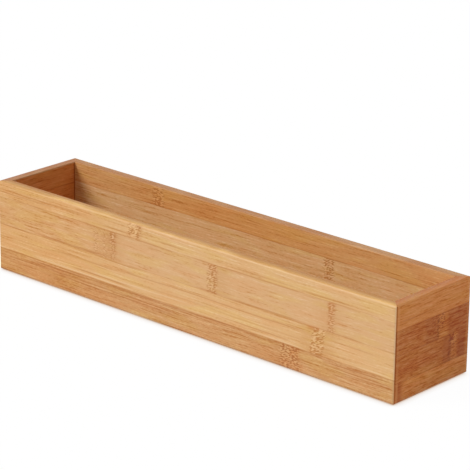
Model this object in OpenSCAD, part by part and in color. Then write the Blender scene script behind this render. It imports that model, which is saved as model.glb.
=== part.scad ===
// Long open storage tray in laminated bamboo.
// Four boards, each glued up from strips laid edge to edge, meet in mitred corners.
// The floor is a thin glued panel whose edge sits in a groove run round all four boards.
// Origin: centre of the footprint on the ground, +X along the tray, +Z up, millimetres.

/* [Tray] */
// Length over the outer faces of the two ends
box_l = 380; // [240:1:500]
// Width over the outer faces of the front and the back
box_w = 80; // [60:1:140]
// Height from the ground to the rim
box_h = 70; // [50:1:110]
// Thickness of every board
board_t = 8; // [6:0.5:12]

/* [Edges] */
// Radius of the four upright corners
upright_arris_r = 1.8; // [0.4:0.1:3]
// Radius of the rim's outer edge
rim_arris_r = 1.6; // [0.4:0.1:2.4]
// Radius of the outer edge at the foot of the boards
foot_arris_r = 2.6; // [0.4:0.1:3.4]
// Radius of the boards' inner edges, at the rim and at the foot
inner_arris_r = 0.8; // [0.2:0.1:2]

/* [Floor] */
// Thickness of the floor panel, which is also the width of its groove
floor_t = 4; // [3:0.5:6]
// Height of the groove's lower side above the ground
floor_lift = 4; // [3:0.5:8]
// Depth of the groove in the boards
groove_d = 3; // [1.5:0.5:4]
// Widths of the floor's strips, front to back, in proportion
floor_widths = [17, 19, 18, 16]; // [10:0.5:24]

/* [Boards] */
// Heights of the front board's strips, top to bottom, in proportion
front_heights = [11.5, 21.5, 19, 18]; // [10:0.5:24]
// Heights of the right end's strips, top to bottom, in proportion
right_heights = [18, 17.5, 19.5, 15]; // [10:0.5:24]
// Heights of the back board's strips, top to bottom, in proportion
back_heights = [15, 18.5, 20, 16.5]; // [10:0.5:24]
// Heights of the left end's strips, top to bottom, in proportion
left_heights = [16, 20, 17, 17]; // [10:0.5:24]

/* [Hidden] */
$fn = 48;

// Place of a strip in its board, counted from the rim down
TOP = 0;
UPPER = 1;
LOWER = 2;
BOTTOM = 3;
// Place of a strip in the floor, counted from the front back
FRONT = 0;
MID_FRONT = 1;
MID_BACK = 2;
BACK = 3;

// How far a cutting shape runs past what it cuts
over = 1;

// Turn that brings a board from the front of the tray to each side
front_turn = 0;
right_turn = 90;
back_turn = 180;
left_turn = 270;

// Size of the floor panel, with its edge in the groove
floor_l = box_l - 2 * (board_t - groove_d);
floor_w = box_w - 2 * (board_t - groove_d);

// Tones of the bamboo
pale = [0.86, 0.69, 0.46];
straw = [0.84, 0.66, 0.48];
honey = [0.80, 0.60, 0.38];
amber = [0.74, 0.50, 0.29];
russet = [0.66, 0.40, 0.23];

// Sum of the first n values of a list
function sum_to(v, n) = n == 0 ? 0 : v[n - 1] + sum_to(v, n - 1);

// Share of the whole list that lies before item n
function share_before(v, n) = sum_to(v, n) / sum_to(v, len(v));

// Height of the glue line above strip i of a board
function glue_line(heights, i) = box_h * (1 - share_before(heights, i));

// What a rounding of radius r takes off a corner that points down and left
module arris_waste(r) {
    difference() {
        translate([-over, -over])
            square(r + over);
        translate([r, r])
            circle(r);
    }
}

// Section across a board, outer face on the left, standing on the ground
module board_section() {
    difference() {
        square([board_t, box_h]);
        arris_waste(foot_arris_r);
        translate([board_t, 0])
            mirror([1, 0])
                arris_waste(inner_arris_r);
        translate([0, box_h])
            mirror([0, 1])
                arris_waste(rim_arris_r);
        translate([board_t, box_h])
            rotate(180)
                arris_waste(inner_arris_r);
        translate([board_t - groove_d, floor_lift])
            square([groove_d + over, floor_t]);
    }
}

// Section across one strip of a board
module strip_section(heights, i) {
    low = glue_line(heights, i + 1);
    high = glue_line(heights, i);
    intersection() {
        board_section();
        translate([-over, low])
            square([board_t + 2 * over, high - low]);
    }
}

// Plan of a board of a given length: both ends mitred, the outer corners eased
module board_plan(length) {
    half = length / 2;
    difference() {
        polygon([[-half, 0], [half, 0], [half - board_t, board_t], [board_t - half, board_t]]);
        for (side = [0, 1])
            mirror([side, 0])
                translate([-half, 0])
                    arris_waste(upright_arris_r);
    }
}

// One strip, its section run along the board and cut to the board's mitred plan
module board_strip(length, heights, i) {
    intersection() {
        rotate([90, 0, 90])
            linear_extrude(length, center = true)
                strip_section(heights, i);
        translate([0, 0, -over])
            linear_extrude(box_h + 2 * over)
                board_plan(length);
    }
}

// Stands a board on its side of the tray
module on_side(turn, reach) {
    rotate([0, 0, turn])
        translate([0, -reach / 2, 0])
            children();
}

module front_strip(i) {
    color([pale, straw, pale, honey][i])
        on_side(front_turn, box_w)
            board_strip(box_l, front_heights, i);
}

module right_strip(i) {
    color([amber, russet, russet, amber][i])
        on_side(right_turn, box_l)
            board_strip(box_w, right_heights, i);
}

module back_strip(i) {
    color([honey, pale, straw, honey][i])
        on_side(back_turn, box_w)
            board_strip(box_l, back_heights, i);
}

module left_strip(i) {
    color([amber, amber, russet, amber][i])
        on_side(left_turn, box_l)
            board_strip(box_w, left_heights, i);
}

// One strip of the floor panel
module floor_strip(i) {
    near = floor_w * share_before(floor_widths, i);
    far = floor_w * share_before(floor_widths, i + 1);
    color([honey, pale, straw, honey][i])
        translate([-floor_l / 2, near - floor_w / 2, floor_lift])
            cube([floor_l, far - near, floor_t]);
}

front_strip(TOP);  // front_top_strip
front_strip(UPPER);  // front_upper_strip
front_strip(LOWER);  // front_lower_strip
front_strip(BOTTOM);  // front_bottom_strip
right_strip(TOP);  // right_top_strip
right_strip(UPPER);  // right_upper_strip
right_strip(LOWER);  // right_lower_strip
right_strip(BOTTOM);  // right_bottom_strip
back_strip(TOP);  // back_top_strip
back_strip(UPPER);  // back_upper_strip
back_strip(LOWER);  // back_lower_strip
back_strip(BOTTOM);  // back_bottom_strip
left_strip(TOP);  // left_top_strip
left_strip(UPPER);  // left_upper_strip
left_strip(LOWER);  // left_lower_strip
left_strip(BOTTOM);  // left_bottom_strip
floor_strip(FRONT);  // floor_front_strip
floor_strip(MID_FRONT);  // floor_mid_front_strip
floor_strip(MID_BACK);  // floor_mid_back_strip
floor_strip(BACK);  // floor_back_strip
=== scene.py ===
"""Looks of the long open storage tray: laminated bamboo, soft studio light and a white ground."""
import math

import bpy
from mathutils import Matrix, Vector


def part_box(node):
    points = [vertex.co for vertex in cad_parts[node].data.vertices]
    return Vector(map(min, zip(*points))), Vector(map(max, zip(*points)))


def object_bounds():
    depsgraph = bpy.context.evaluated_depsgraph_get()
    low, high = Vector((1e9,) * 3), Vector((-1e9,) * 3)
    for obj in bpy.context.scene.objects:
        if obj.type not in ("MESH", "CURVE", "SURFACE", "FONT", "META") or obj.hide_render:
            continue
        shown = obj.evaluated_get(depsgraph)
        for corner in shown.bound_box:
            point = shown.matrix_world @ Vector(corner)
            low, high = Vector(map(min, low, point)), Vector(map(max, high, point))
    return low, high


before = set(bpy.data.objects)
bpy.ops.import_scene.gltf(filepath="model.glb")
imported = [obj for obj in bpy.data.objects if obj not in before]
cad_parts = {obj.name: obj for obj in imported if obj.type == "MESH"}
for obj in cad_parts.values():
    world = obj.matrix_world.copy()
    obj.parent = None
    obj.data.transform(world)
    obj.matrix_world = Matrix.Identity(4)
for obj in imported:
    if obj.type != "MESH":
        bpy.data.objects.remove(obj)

cad_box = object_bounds()

# Camera: where it stands in metres, and how it looks in degrees
CAMERA_AT = (1.1037, -1.2099, 0.6343)
CAMERA_AZIMUTH = 42.053
CAMERA_ELEVATION = 19.227
CAMERA_ROLL = 0.641
CAMERA_FIELD = 10.956

# Key light: one soft sun from the front left, its direction and spread in degrees, and how
# white it makes a white surface that faces it
KEY_AZIMUTH = -33.7
KEY_ELEVATION = 37.8
KEY_SPREAD = 28.0
KEY_LEVEL = 0.66

# Light from all round, as a share of full white
SKY_LEVEL = 0.42
SKY_TINT = (1.0, 0.96, 0.91)

# Ground: its half width and its drop below the tray's feet in metres, and its colour
GROUND_REACH = 6.0
GROUND_DROP = 0.0002
GROUND_COLOUR = (0.80, 0.78, 0.76)
# Share of the ground's own shading that the camera sees, the rest being plain white
GROUND_SHADING = 0.03
# Light that reaches open ground, as a share of full white
OPEN_GROUND = 0.78
# Shade where the tray meets the ground: how far it reaches in metres, and its colour
CONTACT_REACH = 0.007
CONTACT_SHADE = (0.57, 0.38, 0.24)

# Millimetres in a metre: the bamboo's sizes below are in millimetres
MM = 1000.0

# The tray's outside in millimetres, from the imported model's bounds
HALF_L = cad_box[1].x * MM
HALF_W = cad_box[1].y * MM
RIM_Z = cad_box[1].z * MM

# Bamboo tones under varnish: the ground of a strip, its dark fibres and its pale ones
TONES = {
    "pale": ((0.715, 0.440, 0.205), (0.560, 0.262, 0.072), (0.810, 0.565, 0.325)),
    "straw": ((0.692, 0.420, 0.207), (0.545, 0.250, 0.070), (0.780, 0.535, 0.320)),
    "honey": ((0.602, 0.324, 0.136), (0.460, 0.185, 0.050), (0.700, 0.440, 0.218)),
    "caramel": ((0.675, 0.358, 0.136), (0.515, 0.205, 0.050), (0.780, 0.485, 0.218)),
    "amber": ((0.810, 0.305, 0.074), (0.640, 0.172, 0.022), (0.900, 0.400, 0.140)),
    "russet": ((0.640, 0.200, 0.037), (0.490, 0.100, 0.008), (0.730, 0.285, 0.085)),
    "umber": ((0.700, 0.262, 0.070), (0.550, 0.148, 0.022), (0.790, 0.345, 0.130)),
}
# The rim of each board: its tone along the outside and along the inside, and how much paler the lip is, a
# painted highlight along the rim's outer arris
RIMS = {
    # The front's pale outer tone is a painted highlight along the rim's outer edge
    "front": ((0.945, 0.590, 0.205), (0.610, 0.310, 0.096), 0.25),
    "right": ((0.625, 0.326, 0.105), (0.475, 0.256, 0.101), 0.45),
    "back": ((0.580, 0.318, 0.145), (0.580, 0.318, 0.145), 0.40),
    "left": ((0.420, 0.260, 0.120), (0.520, 0.330, 0.158), 0.40),
}
# What a rim's tone is multiplied by in its dark fibres and in its pale ones
RIM_FIBRES = ((0.94, 0.90, 0.85), (1.04, 1.07, 1.12))
# What the dark fibres' tone is multiplied by in glue lines and single dark fibres, and in mitre seams,
# whose band also paints shade over the end board's half of each rounded corner
DEEPEN = (0.86, 0.72, 0.58)
MITRE_DEEPEN = (0.60, 0.55, 0.42)
# Patches of another hue: what they multiply a strip's colour by, and the level of noise at
# which they are full. At the middle level there are none
HUES = {"rosy": ((1.00, 0.955, 0.93), 0.66), "golden": ((1.00, 1.02, 0.90), 0.34)}
HUE_MIDDLE = 0.50
# What long warmer, darker stretches and bleached ones multiply a strip's colour by
STRETCHES = {"warm_dark": (0.985, 0.905, 0.78), "bleach": (1.03, 1.07, 1.16)}
# How softly a stretch fades along a board, in millimetres, by how its fibres lie
STRETCH_SOFT = {"length": 45.0, "width": 8.0, "floor": 45.0}
# What a node multiplies: the strip's colour in its patches and its broken cross lines, the
# dark fibres in its dashes, and the pale ones in its glints
NODE_PATCHES = {
    "wash": (0.80, 0.66, 0.46),
    "pale": (1.14, 1.26, 1.36),
    "shade": (0.80, 0.63, 0.48),
    "blush": (0.95, 0.75, 0.62),
}
NODE_LINE = (0.74, 0.65, 0.48)
NODE_DASH = (0.86, 0.78, 0.80)
NODE_GLINT = {"length": (1.02, 0.98, 0.90), "width": (1.12, 1.18, 1.10), "floor": (1.02, 0.98, 0.90)}

# How strongly a node's glints, glue lines, mitre seams with their painted shade and a rim's own tone show
GLINT_STRENGTH = 0.65
GLUE_STRENGTH = 0.55
SEAM_AND_SHADE_STRENGTH = 0.80
RIM_STRENGTH = 0.90
# How much paler a board is beside its mitres, where it is worn, and on its upright arrises, where the
# paleness is wear and a painted highlight
WEAR_AND_HIGHLIGHT = {"worn": 0.45, "upright": 0.65}

# Layers of noise that swing either side of zero: the size of their features along, across and
# into a strip in millimetres, how far they swing and how detailed they are
SWAY = ((120.0, 40.0, 60.0), 1.6, 1.0)
CURL = ((24.0, 7.0, 12.0), 2.6, 1.0)
SWIRL = ((4.5, 4.0, 5.0), 0.7, 1.0)
RAGGED_ENDS = ((9.0, 2.6, 6.0), 2.4, 3.0)
BAND = ((140.0, 5.0, 5.0), 0.45, 2.0)
FLECK = ((2.6, 0.85, 0.85), 0.85, 1.0)
THREAD = ((10.0, 0.40, 0.40), 0.80, 2.0)
RUNG_WAVER = ((4.0, 5.0, 4.0), 2.2, 2.0)
ROW_WAVER = ((7.0, 2.6, 4.0), 2.0, 2.0)
# Layers of noise from 0 to 1: the size of their features and how detailed they are
HUE_PATCHES = ((34.0, 7.0, 20.0), 1.0)
GLUE_PATCHES = ((40.0, 20.0, 20.0), 2.0)
NODE_SCALES = ((2.2, 0.95, 2.0), 0.0)
LINE_BREAKS = ((6.0, 2.2, 4.0), 1.0)
# How far into the noise one strip lies from the next, in millimetres, so that no two are alike
SEED_STEP = 53.0

# Fibres: their width in millimetres, how strongly they show, their length in millimetres and
# their streaks where a strip's style doesn't say, and how softly lively streaks start and end
FIBRE_WIDTH = 0.95
FIBRE_SWING = 2.10
USUAL_LENGTH = 42.0
USUAL_STREAK = 1.0
LIVELY_SOFT = 30.0
# The level either side of zero at which fibres start to show and are full, on a strip and on a rim
FIBRES_SHOW = (0.10, 1.20)
RIM_FIBRES_SHOW = (0.05, 0.90)
# Single fibres, in millimetres: how far they are full, how far they spread, and how softly they end
SINGLE_CORE = 0.2
SINGLE_SPREAD = 0.85
SINGLE_SOFT = 10.0
# Glue lines: how far from the glued edge they are full, in millimetres. Then, for their spread
# in millimetres and for how strongly they show, the levels of noise between which it changes,
# and from what to what
GLUE_CORE = 0.1
GLUE_SPREAD = (0.35, 0.62, 0.25, 0.95)
GLUE_SHOWS = (0.30, 0.60, 0.15, 1.0)

# How soft a node's features are, in millimetres: at their ends, by kind and for the other
# kinds, and at their upper and lower sides
KNOT_EDGES = {"tangle": 1.4, "line": 0.7, "pale": 1.0, "wash": 7.0, "rise": 3.0, "curl": 16.0}
KNOT_USUAL_EDGE = 2.0
KNOT_SIDES = 2.2
# Where a node's fibres are tangled, the height from one dash to the next and a dash's length,
# in millimetres, and how strongly the dashes keep to these
RUNG = 1.6
ROW = 2.5
BRICK_SHARE = 0.10
# The levels of noise at which dashes and glints start and are full, and those between which a
# broken cross line changes, and from what strength to what
DASHES_SHOW = (0.50, 0.62)
GLINTS_SHOW = (0.47, 0.35)
LINES_SHOW = (0.40, 0.60, 0.2, 1.0)

# Depths in a board from its outer face, in millimetres and negative: where the rim's outer tone
# starts and is full, and where the wear beside a mitre does
RIM_OUTER = (-6.5, -2.0)
WORN_DEPTHS = (-4.0, -3.0)
# Heights in millimetres at which the rim starts and is full, and at which the lip's painted highlight does
RIM_HEIGHTS = (RIM_Z - 2.4, RIM_Z - 1.2)
LIP_HEIGHTS = (3.0, 9.0)
# Bands beside a mitre, in millimetres from it: where they start and end, and how softly. The first is the
# dark mitre seam, widened into painted shade where the end board's half of the rounded corner turns away
# from the key light
SEAM_AND_SHADE_BAND = (0.1, 1.2, 0.4)
WORN_BAND = (1.6, 3.7, 0.6)
# How far a face is turned, by its normal, where an arris or a rim starts and where it is full
ARRIS_TURN = (0.15, 0.45)
RIM_TURN = (0.10, 0.45)
# How much further a face has to be turned up to count as rim on the outer arris
OUTER_HOLD = 0.5
# The level of the rim at which it hides the wear beside a mitre, and how much of the mitre's
# seam shows there
RIM_COVERS = 0.5
SEAM_LEFT = 0.3

# Satin varnish: its roughness, how much rougher it is where it sinks and smoother where it
# swells, its specular level, its bumps' strength and their height in millimetres
SATIN_ROUGHNESS = 0.46
SUNK_ROUGHER = 0.10
RAISED_SMOOTHER = 0.08
SATIN_SPECULAR = 0.20
BUMP_STRENGTH = 0.10
BUMP_HEIGHT = 0.05
# How much of the fibres goes into the varnish's relief, and how far that goes either side of zero
# before it is roughest and smoothest
RELIEF_SHARE = 0.5
RELIEF_REACH = 0.5

WHITE = (1.0, 1.0, 1.0)


class Shader:
    """The shader nodes of one material or world, added and joined by short calls."""

    def __init__(self, owner):
        owner.use_nodes = True
        self.tree = owner.node_tree
        self.tree.nodes.clear()

    def add(self, kind, **settings):
        made = self.tree.nodes.new(kind)
        for name, value in settings.items():
            setattr(made, name, value)
        return made

    def feed(self, socket, value):
        """Joins an output to a socket, or sets the socket to a plain value."""
        if isinstance(value, bpy.types.NodeSocket):
            self.tree.links.new(value, socket)
        elif isinstance(value, tuple) and len(socket.default_value) == 4:
            socket.default_value = (*value, 1.0)
        else:
            socket.default_value = value

    def math(self, operation, *values):
        made = self.add("ShaderNodeMath", operation=operation)
        for socket, value in zip(made.inputs, values):
            self.feed(socket, value)
        return made.outputs[0]

    def chain(self, operation, values):
        total = values[0]
        for value in values[1:]:
            total = self.math(operation, total, value)
        return total

    def plus(self, *values):
        return self.chain("ADD", values)

    def times(self, *values):
        return self.chain("MULTIPLY", values)

    def least(self, *values):
        return self.chain("MINIMUM", values)

    def most(self, *values):
        return self.chain("MAXIMUM", values)

    def size(self, value):
        return self.math("ABSOLUTE", value)

    def span(self, value, low, high, from_level=0.0, to_level=1.0):
        """Runs smoothly from one level to another as value goes from low to high."""
        made = self.add("ShaderNodeMapRange", interpolation_type="SMOOTHSTEP", clamp=True)
        names = ("Value", "From Min", "From Max", "To Min", "To Max")
        for name, level in zip(names, (value, low, high, from_level, to_level)):
            self.feed(made.inputs[name], level)
        return made.outputs["Result"]

    def window(self, value, low, high, soft):
        """1 between low and high and 0 outside, with soft edges."""
        rise = self.span(value, low - soft, low + soft)
        fall = self.span(value, high - soft, high + soft, 1.0, 0.0)
        return self.times(rise, fall)

    def parts(self, vector):
        made = self.add("ShaderNodeSeparateXYZ")
        self.feed(made.inputs[0], vector)
        return made.outputs

    def noise(self, place, sizes, detail=2.0):
        """Noise from 0 to 1 at a place, with features of the given sizes."""
        joined = self.add("ShaderNodeCombineXYZ")
        for socket, value, size in zip(joined.inputs, place, sizes):
            self.feed(socket, self.math("DIVIDE", value, size))
        made = self.add("ShaderNodeTexNoise")
        made.inputs["Scale"].default_value = 1.0
        made.inputs["Detail"].default_value = detail
        self.feed(made.inputs["Vector"], joined.outputs[0])
        return made.outputs["Fac"]

    def swing(self, place, sizes, reach, detail=2.0):
        """Noise that swings either side of zero, mostly within reach."""
        return self.times(self.plus(self.noise(place, sizes, detail), -0.5), 2.0 * reach)

    def mix(self, factor, a, b, blend="MIX"):
        made = self.add("ShaderNodeMix", data_type="RGBA", blend_type=blend)
        self.feed(made.inputs["Factor"], factor)
        self.feed(made.inputs[6], a)
        self.feed(made.inputs[7], b)
        return made.outputs[2]

    def tint(self, factor, colour, by):
        """Multiplies a colour by another, as far as the factor says."""
        return self.mix(factor, colour, by, "MULTIPLY")


class Place:
    """Where a point of a strip lies, in millimetres: on the tray, and by the strip's own fibres."""

    def __init__(self, shader, lie, seed):
        in_mm = shader.add("ShaderNodeVectorMath", operation="SCALE")
        in_mm.inputs["Scale"].default_value = MM
        shader.feed(in_mm.inputs[0], shader.add("ShaderNodeTexCoord").outputs["Object"])
        self.lie = lie
        self.x, self.y, self.z = shader.parts(in_mm.outputs[0])
        self.along, self.across, self.deep = {
            "length": (self.x, self.z, self.y),
            "width": (self.y, self.z, self.x),
            "floor": (self.x, self.y, self.z),
        }[lie]
        self.deep = shader.plus(self.deep, seed * SEED_STEP)

    def at(self, across=None):
        """The place for noise, with another height across the fibres where one is given."""
        return (self.along, across or self.across, self.deep)


def knot(at, middle=0.0, slant=0.0, **features):
    """A bamboo node: its place along the fibres and, for each thing it does, where and how strongly.

    Each feature has a start and an end from that place, a strength and, where it doesn't cross
    the whole strip, the heights it lies between. A slanted node moves along the fibres as it
    crosses them, and is in its place at its middle height.
    """
    return at, middle, slant, features


def knot_masks(shader, place, knots):
    """Adds up, for each thing that the strip's nodes do, where and how strongly they do it."""
    ragged = shader.plus(place.along, shader.swing(place.at(), *RAGGED_ENDS))
    masks = {}
    for at, middle, slant, features in knots:
        seat = ragged
        if slant:
            seat = shader.plus(ragged, shader.times(shader.plus(place.across, -middle), -slant))
        for kind, (start, end, strength, *heights) in features.items():
            mask = shader.window(seat, at + start, at + end, KNOT_EDGES.get(kind, KNOT_USUAL_EDGE))
            mask = shader.times(mask, strength)
            if heights:
                mask = shader.times(mask, shader.window(place.across, *heights, KNOT_SIDES))
            if kind == "rise":
                mask = shader.times(mask, shader.plus(place.along, -at))
            masks[kind] = shader.plus(masks[kind], mask) if kind in masks else mask
    return masks


def fibre_height(shader, place, masks):
    """Height across a strip, bent as its fibres run: slowly along it, and tightly at a node."""
    height = shader.plus(place.across, shader.swing(place.at(), *SWAY))
    for kind, bend in {"curl": CURL, "tangle": SWIRL}.items():
        if kind in masks:
            bent = shader.swing(place.at(), *bend)
            height = shader.plus(height, shader.times(bent, masks[kind]))
    return height


def grain(shader, at, length, streak):
    """How a strip's fibres lie around its ground tone: dark ones below zero, pale ones above."""
    band = shader.swing(at, *BAND)
    fibre = shader.swing(at, (length, FIBRE_WIDTH, FIBRE_WIDTH), FIBRE_SWING)
    fleck = shader.swing(at, *FLECK)
    thread = shader.swing(at, *THREAD)
    return shader.times(shader.plus(band, fibre, fleck, thread), streak)


def glue_lines(shader, place, low, high):
    """1 in the dark hairlines along a strip's two glued edges, broken here and there."""
    patchy = shader.noise(place.at(), *GLUE_PATCHES)
    spread = shader.span(patchy, *GLUE_SPREAD)
    from_low = shader.plus(place.across, -low)
    from_high = shader.math("SUBTRACT", high, place.across)
    line = shader.span(shader.least(from_low, from_high), GLUE_CORE, spread, 1.0, 0.0)
    return shader.times(line, shader.span(patchy, *GLUE_SHOWS))


def fibre_lines(shader, place, height, lines):
    """1 in the long single fibres of a strip: each has a height, a start, an end and a strength."""
    found = []
    for level, start, end, strength in lines:
        aside = shader.size(shader.plus(height, -level))
        thin = shader.span(aside, SINGLE_CORE, SINGLE_SPREAD, 1.0, 0.0)
        reach = shader.window(place.along, start, end, SINGLE_SOFT)
        found.append(shader.times(thin, reach, strength))
    return shader.most(*found)


def edge_masks(shader, place):
    """Where a board's edges are: its rim and lip, its upright arrises, its mitre seams, whose band also
    holds painted shade, and beside them.
    """
    true_normal = shader.add("ShaderNodeNewGeometry").outputs["True Normal"]
    across, along, up = (shader.size(part) for part in shader.parts(true_normal))
    lip = shader.span(shader.least(up, shader.most(across, along)), *ARRIS_TURN)
    far_x, far_y = shader.size(place.x), shader.size(place.y)
    past_mitre = shader.plus(shader.math("SUBTRACT", far_x, far_y), HALF_W - HALF_L)
    outside = shader.most(shader.plus(far_x, -HALF_L), shader.plus(far_y, -HALF_W))
    outer = shader.span(outside, *RIM_OUTER)
    # The rim's tone runs further over the inner arris than over the outer one
    turned = shader.plus(up, shader.times(outer, -OUTER_HOLD))
    rim = shader.times(shader.span(turned, *RIM_TURN), shader.span(place.z, *RIM_HEIGHTS))
    # A dark mitre seam, widened into painted shade where the end board's half of the rounded corner turns
    # away from the key light
    seam_and_shade = shader.window(past_mitre, *SEAM_AND_SHADE_BAND)
    beside = shader.times(shader.window(past_mitre, *WORN_BAND), shader.span(outside, *WORN_DEPTHS))
    return {
        "rim": rim,
        "outer": outer,
        "lip": shader.times(lip, outer, shader.span(place.z, *LIP_HEIGHTS)),
        "upright": shader.span(shader.least(across, along), *ARRIS_TURN),
        "seam_and_shade": shader.times(seam_and_shade, shader.span(rim, 0.0, RIM_COVERS, 1.0, SEAM_LEFT)),
        "worn": shader.times(beside, shader.span(rim, 0.0, RIM_COVERS, 1.0, 0.0)),
    }


def tinted(colour, by):
    """A plain colour multiplied by another."""
    return tuple(channel * share for channel, share in zip(colour, by))


def node_scales(shader, place, height):
    """Noise in a tangled node, partly drawn into rows of dashes like the bricks of a wall."""
    rungs = shader.times(height, 2.0 * math.pi / RUNG)
    rungs = shader.plus(rungs, shader.swing(place.at(), *RUNG_WAVER))
    rows = shader.times(place.along, math.pi / ROW)
    rows = shader.plus(rows, shader.swing(place.at(), *ROW_WAVER))
    bricks = shader.times(shader.math("SINE", rungs), shader.math("SINE", rows), BRICK_SHARE)
    return shader.plus(shader.noise(place.at(height), *NODE_SCALES), bricks)


def dress_knots(shader, place, height, masks, colour, dark, pale):
    """Colours a strip's nodes: soft patches, then dashes and glints that climb, and broken cross lines."""
    for kind, patch in NODE_PATCHES.items():
        if kind in masks:
            colour = shader.tint(masks[kind], colour, patch)
    if "rise" in masks:
        height = shader.math("SUBTRACT", height, masks["rise"])
    if "tangle" in masks:
        scales = node_scales(shader, place, height)
        dashes = shader.times(shader.span(scales, *DASHES_SHOW), masks["tangle"])
        glints = shader.times(shader.span(scales, *GLINTS_SHOW), masks["tangle"])
        glint_tone = tinted(pale, NODE_GLINT[place.lie])
        colour = shader.mix(dashes, colour, tinted(dark, NODE_DASH))
        colour = shader.mix(shader.times(glints, GLINT_STRENGTH), colour, glint_tone)
    if "line" in masks:
        broken = shader.span(shader.noise(place.at(), *LINE_BREAKS), *LINES_SHOW)
        colour = shader.tint(shader.times(masks["line"], broken), colour, NODE_LINE)
    return colour


def dress_edges(shader, place, colour, dark, pale, rim_style, fibres):
    """Colours the rim, the arrises and the mitre seams of a board, with wear and painted highlights on the
    arrises and painted shade at the seams.
    """
    edges = edge_masks(shader, place)
    outer_tone, inner_tone, lip = rim_style
    dark_fibres, pale_fibres = RIM_FIBRES
    start, full = RIM_FIBRES_SHOW
    # On the front the outer tone is much paler: a painted highlight along the rim's outer edge
    rim = shader.mix(edges["outer"], inner_tone, outer_tone)
    rim = shader.tint(shader.span(fibres, -start, -full), rim, dark_fibres)
    rim = shader.tint(shader.span(fibres, start, full), rim, pale_fibres)
    colour = shader.mix(shader.times(edges["rim"], RIM_STRENGTH), colour, rim)
    # The lip turns paler as a painted highlight, and the upright arrises as a painted highlight and wear;
    # beside the mitres the paleness is wear
    for edge, strength in {"lip": lip, **WEAR_AND_HIGHLIGHT}.items():
        colour = shader.mix(shader.times(edges[edge], strength), colour, pale)
    # The seams' dark band is a glue joint and painted shade on the end board's half of each rounded corner
    seams_and_shade = shader.times(edges["seam_and_shade"], SEAM_AND_SHADE_STRENGTH)
    return shader.mix(seams_and_shade, colour, tinted(dark, MITRE_DEEPEN))


def fibre_tones(shader, place, tones, fibres, style):
    """A strip's colour by its fibres, with patches of other hues and its long stretches."""
    ground, dark, pale = tones
    start, full = FIBRES_SHOW
    colour = shader.mix(shader.span(fibres, -start, -full), ground, dark)
    colour = shader.mix(shader.span(fibres, start, full), colour, pale)
    hue = shader.noise(place.at(), *HUE_PATCHES)
    for tint, level in HUES.values():
        colour = shader.tint(shader.span(hue, HUE_MIDDLE, level), colour, tint)
    for kind, tint in STRETCHES.items():
        if kind in style:
            start, end, strength = style[kind]
            reach = shader.window(place.along, start, end, STRETCH_SOFT[place.lie])
            colour = shader.tint(shader.times(reach, strength), colour, tint)
    return colour


def bamboo(node, lie, tone, rim_style, seed, style):
    """Varnished bamboo for one strip of a board or of the floor."""
    material = bpy.data.materials.new(f"bamboo_{node}")
    shader = Shader(material)
    place = Place(shader, lie, seed)
    masks = knot_masks(shader, place, style.get("knots", ()))
    height = fibre_height(shader, place, masks)

    streak = style.get("streak", USUAL_STREAK)
    if "lively" in style:
        start, end, extra = style["lively"]
        lively = shader.window(place.along, start, end, LIVELY_SOFT)
        streak = shader.plus(shader.times(lively, extra), streak)
    fibres = grain(shader, place.at(height), style.get("length", USUAL_LENGTH), streak)
    colour = fibre_tones(shader, place, TONES[tone], fibres, style)

    dark, pale = TONES[tone][1:]
    deep = tinted(dark, DEEPEN)
    colour = dress_knots(shader, place, height, masks, colour, dark, pale)
    for kind, line_tone in {"bright": pale, "lines": deep}.items():
        if kind in style:
            lines = fibre_lines(shader, place, height, style[kind])
            colour = shader.mix(lines, colour, line_tone)
    if rim_style:
        colour = dress_edges(shader, place, colour, dark, pale, rim_style, fibres)
    # The floor's strips lie side by side, and the others one above another
    axis = 1 if lie == "floor" else 2
    low, high = (corner[axis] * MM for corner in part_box(node))
    glue = shader.times(glue_lines(shader, place, low, high), GLUE_STRENGTH)
    colour = shader.mix(glue, colour, deep)

    varnish(shader, colour, shader.times(fibres, RELIEF_SHARE))
    return material


def varnish(shader, colour, relief):
    """Clear satin varnish over the colour, rougher where it sinks into the fibres."""
    bump = shader.add("ShaderNodeBump")
    bump.inputs["Strength"].default_value = BUMP_STRENGTH
    bump.inputs["Distance"].default_value = BUMP_HEIGHT / MM
    shader.feed(bump.inputs["Height"], relief)
    body = shader.add("ShaderNodeBsdfPrincipled")
    body.inputs["Specular IOR Level"].default_value = SATIN_SPECULAR
    shader.feed(body.inputs["Base Color"], colour)
    sunk = SATIN_ROUGHNESS + SUNK_ROUGHER
    raised = SATIN_ROUGHNESS - RAISED_SMOOTHER
    rough = shader.span(relief, -RELIEF_REACH, RELIEF_REACH, sunk, raised)
    shader.feed(body.inputs["Roughness"], rough)
    shader.feed(body.inputs["Normal"], bump.outputs["Normal"])
    out = shader.add("ShaderNodeOutputMaterial")
    shader.feed(out.inputs["Surface"], body.outputs["BSDF"])


def left(distance):
    """Place along the tray of a point measured from its left end."""
    return distance - HALF_L


def front(distance):
    """Place across the tray of a point measured from its front."""
    return distance - HALF_W
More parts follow.
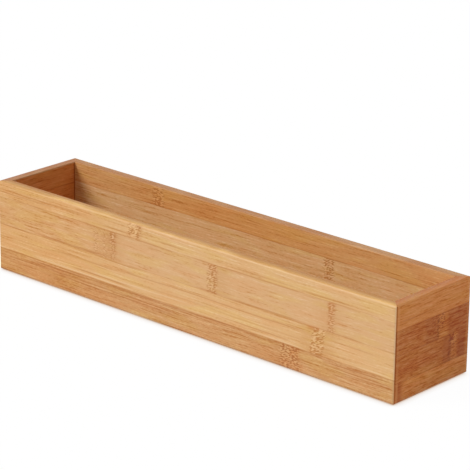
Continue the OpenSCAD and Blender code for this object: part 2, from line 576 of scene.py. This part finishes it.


# What the fibres of each strip do, in millimetres: length is how long they are, and streak how strongly
# they show. Lines and bright lines are single fibres, each with a height, a start, an end and a strength.
# A warmer, darker stretch or a bleached one has a start, an end and a strength, and lively streaks have a
# start, an end and the strength they gain
STYLES = {
    "front_top_strip": {
        "length": 38.0,
        "streak": 0.78,
        "lively": (left(-40), left(90), 0.32),
        "warm_dark": (left(-100), left(105), 1.0),
        "bleach": (left(165), left(195), 0.7),
        "lines": [
            (64.0, left(24), left(90), 0.45), (62.3, left(4), left(60), 0.45),
            (61.2, left(112), left(136), 0.6), (62.4, left(164), left(188), 0.5),
            (61.0, left(240), left(296), 0.35), (60.2, left(300), left(342), 0.5),
        ],
        "knots": [
            knot(left(142.5), 65, 0.25, tangle=(-6.5, 6, 0.8, 59.5, 72), blush=(-6.5, 5, 0.25),
                 shade=(2, 7, 0.5), rise=(-9, 9, 0.3)),
        ],
    },
    "front_upper_strip": {
        "length": 17.0,
        "streak": 0.72,
        "lively": (left(-40), left(90), 0.32),
        "warm_dark": (left(-100), left(105), 1.0),
        "lines": [
            (38.3, left(44), left(112), 0.6), (37.7, left(204), left(222), 0.5),
            (37.6, left(236), left(296), 0.5),
        ],
        "knots": [
            knot(left(121), tangle=(-3, 2.5, 0.5), shade=(-1.8, 2.6, 0.25), wash=(-8, 3, 0.2),
                 rise=(-9, 8, 0.2), curl=(-60, -2, 0.4)),
            knot(left(121), tangle=(-3.5, 1, 0.6, 50, 58), shade=(-3, 2.5, 0.45, 48, 59),
                 wash=(-22, 10, 0.2)),
            knot(left(112), tangle=(-1.2, 1.2, 0.4), wash=(2, 8, 0.2), rise=(-5, 4, 0.2)),
            knot(left(109), tangle=(-8, 8, 0.2)),
            knot(left(103.5), tangle=(-2, 2, 0.4, 40, 56), shade=(-2.5, 0, 0.15, 40, 56)),
            knot(left(218), tangle=(-5, 4, 0.75), shade=(-0.5, 4, 0.4), blush=(-4, 4, 0.5, 54, 60),
                 wash=(-3, 16, 0.3), rise=(-8, 8, 0.3)),
            knot(left(325.5), tangle=(-3, 2.5, 0.7), shade=(-3.5, 2.5, 0.3), wash=(-12, 8, 0.2),
                 blush=(-3, 2, 0.2), rise=(-6, 6, 0.3)),
            knot(left(325.5), shade=(-3, 2, 0.3, 50, 60), blush=(-2.5, 2, 0.4, 50, 60)),
        ],
    },
    "front_lower_strip": {
        "length": 38.0,
        "streak": 0.78,
        "lively": (left(-40), left(90), 0.2),
        "warm_dark": (left(-100), left(105), 1.0),
        "lines": [
            (36.5, left(110), left(145), 0.55), (31.5, left(130), left(300), 0.45),
            (30.0, left(62), left(120), 0.4), (25.0, left(140), left(300), 0.25),
            (21.4, left(82), left(134), 0.6), (21.5, left(242), left(288), 0.5),
            (31.0, left(330), left(362), 0.3), (21.2, left(322), left(340), 0.4),
        ],
        "bright": [
            (22.6, left(100), left(190), 0.5), (19.2, left(40), left(130), 0.6),
            (18.9, left(262), left(300), 0.6), (18.9, left(352), left(376), 0.6),
        ],
        "knots": [
            knot(left(314.5), 28, 0.15, tangle=(-6, 5, 0.9), shade=(-5, 3, 0.35), wash=(-16, 14, 0.4),
                 rise=(-9, 9, 0.25)),
            knot(left(311), blush=(-6, 4, 0.9, 35, 38), shade=(-5, 4, 0.4, 35, 38)),
        ],
    },
    "front_bottom_strip": {
        "length": 34.0,
        "streak": 1.28,
        "warm_dark": (left(-100), left(105), 1.0),
        "lines": [
            (15.5, left(40), left(92), 0.6), (16.6, left(100), left(190), 0.6),
            (17.2, left(190), left(280), 0.5), (13.0, left(20), left(180), 0.35),
            (10.8, left(60), left(190), 0.35), (15.4, left(326), left(372), 0.5),
            (12.8, left(322), left(372), 0.4), (10.9, left(330), left(376), 0.35),
        ],
        "knots": [
            knot(left(289), tangle=(-8.5, 8, 0.9, 7, 20), blush=(0, 8.5, 1.0, 10, 20),
                 shade=(2, 12, 0.15, 2, 20), wash=(-14, -4, 0.15), rise=(-9, 9, 0.15)),
            knot(left(289.5), tangle=(-9, 10, 0.7, -2, 8), blush=(-9, 12, 0.5, -2, 7), curl=(-80, 0, 0.4)),
        ],
    },
    "right_top_strip": {"length": 15.0, "streak": 1.2, "lines": [(57.4, front(4), front(40), 0.4)]},
    "right_upper_strip": {
        "length": 10.0,
        "streak": 1.5,
        "warm_dark": (front(50), front(130), 0.5),
        "knots": [
            knot(front(45.5), line=(-1.2, 0.6, 1.1), tangle=(0, 7, 0.9, 41, 52), shade=(-13.5, 0, 0.55),
                 pale=(0.5, 9.5, 0.75), curl=(-20, 10, 0.4)),
            knot(front(42), tangle=(-4, 3, 0.4), shade=(0, 3, 0.15)),
            knot(front(57), shade=(0, 40, 0.38)),
            knot(front(66), shade=(0, 40, 0.15)),
        ],
    },
    "right_lower_strip": {
        "length": 10.0,
        "streak": 1.55,
        "warm_dark": (front(50), front(130), 0.5),
        "knots": [
            knot(front(59), line=(-1.8, 0.8, 0.9), tangle=(-1, 7, 0.8, 26, 36), shade=(-8, 0, 0.5),
                 pale=(1, 8.3, 0.45), wash=(-14, 0, 0.2), curl=(-30, 8, 0.4)),
            knot(front(60), shade=(-3, 0.5, 0.5, 17, 32), tangle=(-2, 7, 0.3)),
            knot(front(67), shade=(0, 8.3, 0.9)),
            knot(front(15), pale=(-40, 17, 0.12)),
            knot(front(20), pale=(-30, 32, 0.45, 8, 19)),
        ],
    },
    "right_bottom_strip": {
        "length": 12.0,
        "streak": 1.5,
        "knots": [knot(front(4), shade=(-8, 4, 1.0), wash=(-10, 5, 0.8), pale=(16, 80, 0.12))],
    },
    "back_top_strip": {
        "length": 30.0,
        # This warmer, darker stretch is painted shade from the tray's contents, which are left out
        "warm_dark": (left(75), left(240), 1.0),
        "knots": [knot(left(96), tangle=(-5, 6, 0.8), blush=(-4, 4, 0.3))],
    },
    "back_upper_strip": {
        "length": 24.0,
        "knots": [
            knot(left(262), tangle=(-5, 5, 0.9), shade=(-3, 4, 0.4), curl=(-40, 4, 0.4),
                 rise=(-7, 7, 0.3)),
        ],
    },
    "back_lower_strip": {
        "length": 40.0,
        "knots": [
            knot(left(62), tangle=(-6, 5, 0.8), line=(-1, 1, 0.5), blush=(-4, 3, 0.3)),
            knot(left(304), tangle=(-4, 5, 0.8), shade=(-4, 3, 0.4), pale=(-14, -4, 0.3)),
        ],
    },
    "back_bottom_strip": {
        "length": 30.0,
        "streak": 1.1,
        "knots": [knot(left(176), tangle=(-6, 9, 0.8), blush=(-4, 5, 0.4), curl=(-40, 6, 0.7))],
    },
    "left_top_strip": {"length": 14.0, "streak": 1.1},
    "left_upper_strip": {
        "length": 12.0,
        "streak": 1.1,
        "knots": [
            knot(front(27), tangle=(-5, 5, 0.7), line=(-1, 1, 0.6), shade=(-8, 0, 0.3),
                 pale=(1, 7, 0.4)),
        ],
    },
    "left_lower_strip": {"length": 11.0, "streak": 1.1},
    "left_bottom_strip": {
        "length": 13.0,
        "streak": 1.1,
        "knots": [knot(front(55), tangle=(-4, 5, 0.7), blush=(-3, 4, 0.3), curl=(-20, 4, 0.6))],
    },
    "floor_front_strip": {"knots": [knot(left(120), tangle=(-5, 6, 0.8), shade=(-3, 4, 0.4))]},
    "floor_mid_front_strip": {
        "length": 20.0,
        "knots": [knot(left(248), tangle=(-6, 5, 0.8), line=(-1, 1, 0.5))],
    },
    "floor_mid_back_strip": {
        "knots": [
            knot(left(70), tangle=(-5, 5, 0.8), blush=(-3, 3, 0.3)),
            knot(left(318), tangle=(-4, 6, 0.8)),
        ],
    },
    "floor_back_strip": {
        "length": 26.0,
        "knots": [knot(left(190), tangle=(-6, 6, 0.8), shade=(-3, 4, 0.4))],
    },
}

# The boards: how their fibres lie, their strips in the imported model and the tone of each
WALL_STRIPS = ("top", "upper", "lower", "bottom")
BOARDS = {
    "front": ("length", WALL_STRIPS, ("pale", "straw", "pale", "honey")),
    "right": ("width", WALL_STRIPS, ("amber", "russet", "russet", "amber")),
    "back": ("length", WALL_STRIPS, ("caramel", "pale", "straw", "honey")),
    "left": ("width", WALL_STRIPS, ("umber", "umber", "russet", "umber")),
    "floor": ("floor", ("front", "mid_front", "mid_back", "back"), ("honey", "pale", "straw", "honey")),
}


def dress_boards():
    """Gives every strip of every board its own bamboo."""
    seed = 0
    for board, (lie, strips, tones) in BOARDS.items():
        for strip, tone in zip(strips, tones):
            node = f"{board}_{strip}_strip"
            seed += 1
            material = bamboo(node, lie, tone, RIMS.get(board), seed, STYLES[node])
            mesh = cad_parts[node].data
            mesh.materials.clear()
            mesh.materials.append(material)


def seen_directly(shader):
    """1 for rays that show a surface itself or its mirror image, 0 for rays that light others."""
    path = shader.add("ShaderNodeLightPath").outputs
    return shader.most(path["Is Camera Ray"], path["Is Glossy Ray"], path["Is Transmission Ray"])


def mixed(shader, factor, first, second):
    """Mixes two shaders."""
    made = shader.add("ShaderNodeMixShader")
    for socket, value in zip(made.inputs, (factor, first, second)):
        shader.feed(socket, value)
    return made.outputs[0]


def shown_ground(shader):
    """The ground as it is seen: plain white, a little of its own shading, and the tray's contact shade."""
    shaded = shader.add("ShaderNodeBsdfDiffuse")
    shader.feed(shaded.inputs["Color"], (GROUND_SHADING, GROUND_SHADING, GROUND_SHADING))
    open_air = shader.add("ShaderNodeAmbientOcclusion")
    open_air.inputs["Distance"].default_value = CONTACT_REACH
    covered = shader.math("SUBTRACT", 1.0, open_air.outputs["AO"])
    white = shader.add("ShaderNodeEmission")
    tone = shader.mix(shader.times(covered, covered), WHITE, CONTACT_SHADE)
    shader.feed(white.inputs["Color"], tone)
    white.inputs["Strength"].default_value = 1.0 - OPEN_GROUND * GROUND_SHADING
    shown = shader.add("ShaderNodeAddShader")
    shader.feed(shown.inputs[0], shaded.outputs[0])
    shader.feed(shown.inputs[1], white.outputs[0])
    return shown.outputs[0]


def make_ground():
    """A white ground that takes the tray's shadow and is clear from below."""
    mesh = bpy.data.meshes.new("ground")
    sides = [(-1, -1), (1, -1), (1, 1), (-1, 1)]
    corners = [(x * GROUND_REACH, y * GROUND_REACH, -GROUND_DROP) for x, y in sides]
    mesh.from_pydata(corners, [], [(0, 1, 2, 3)])
    ground = bpy.data.objects.new("ground", mesh)
    bpy.context.scene.collection.objects.link(ground)

    material = bpy.data.materials.new("ground")
    shader = Shader(material)
    lit = shader.add("ShaderNodeBsdfDiffuse")
    shader.feed(lit.inputs["Color"], GROUND_COLOUR)
    above = mixed(shader, seen_directly(shader), lit.outputs[0], shown_ground(shader))
    below = shader.add("ShaderNodeBsdfTransparent").outputs[0]
    backfacing = shader.add("ShaderNodeNewGeometry").outputs["Backfacing"]
    out = shader.add("ShaderNodeOutputMaterial")
    shader.feed(out.inputs["Surface"], mixed(shader, backfacing, above, below))
    mesh.materials.append(material)


def towards(azimuth, elevation):
    """Unit vector from the tray towards a place, by its azimuth right of the front and its elevation."""
    turn, rise = math.radians(azimuth), math.radians(elevation)
    return Vector((math.sin(turn) * math.cos(rise), -math.cos(turn) * math.cos(rise), math.sin(rise)))


def make_camera():
    """The camera, turned by its azimuth, elevation and roll."""
    data = bpy.data.cameras.new("camera")
    data.lens = data.sensor_width / 2 / math.tan(math.radians(CAMERA_FIELD) / 2)
    camera = bpy.data.objects.new("camera", data)
    bpy.context.scene.collection.objects.link(camera)
    back = towards(CAMERA_AZIMUTH, CAMERA_ELEVATION)
    level = towards(CAMERA_AZIMUTH + 90.0, 0.0)
    tilt = math.radians(CAMERA_ROLL)
    right = math.cos(tilt) * level + math.sin(tilt) * back.cross(level)
    turned = Matrix((right, back.cross(right), back)).transposed().to_4x4()
    camera.matrix_world = Matrix.Translation(CAMERA_AT) @ turned
    bpy.context.scene.camera = camera


def make_light():
    """A soft key from the front left, and even light from all round before a white backdrop."""
    data = bpy.data.lights.new("key", "SUN")
    data.energy = KEY_LEVEL * math.pi
    data.angle = math.radians(KEY_SPREAD)
    key = bpy.data.objects.new("key", data)
    key.rotation_mode = "QUATERNION"
    key.rotation_quaternion = towards(KEY_AZIMUTH, KEY_ELEVATION).to_track_quat("Z", "Y")
    bpy.context.scene.collection.objects.link(key)

    world = bpy.data.worlds.new("studio")
    shader = Shader(world)
    sky = shader.add("ShaderNodeBackground")
    shader.feed(sky.inputs["Color"], SKY_TINT)
    sky.inputs["Strength"].default_value = SKY_LEVEL
    white = shader.add("ShaderNodeBackground")
    shader.feed(white.inputs["Color"], WHITE)
    out = shader.add("ShaderNodeOutputWorld")
    light = mixed(shader, seen_directly(shader), sky.outputs[0], white.outputs[0])
    shader.feed(out.inputs["Surface"], light)
    bpy.context.scene.world = world


make_camera()
make_light()
make_ground()
dress_boards()

bpy.context.scene.view_settings.view_transform = "Standard"
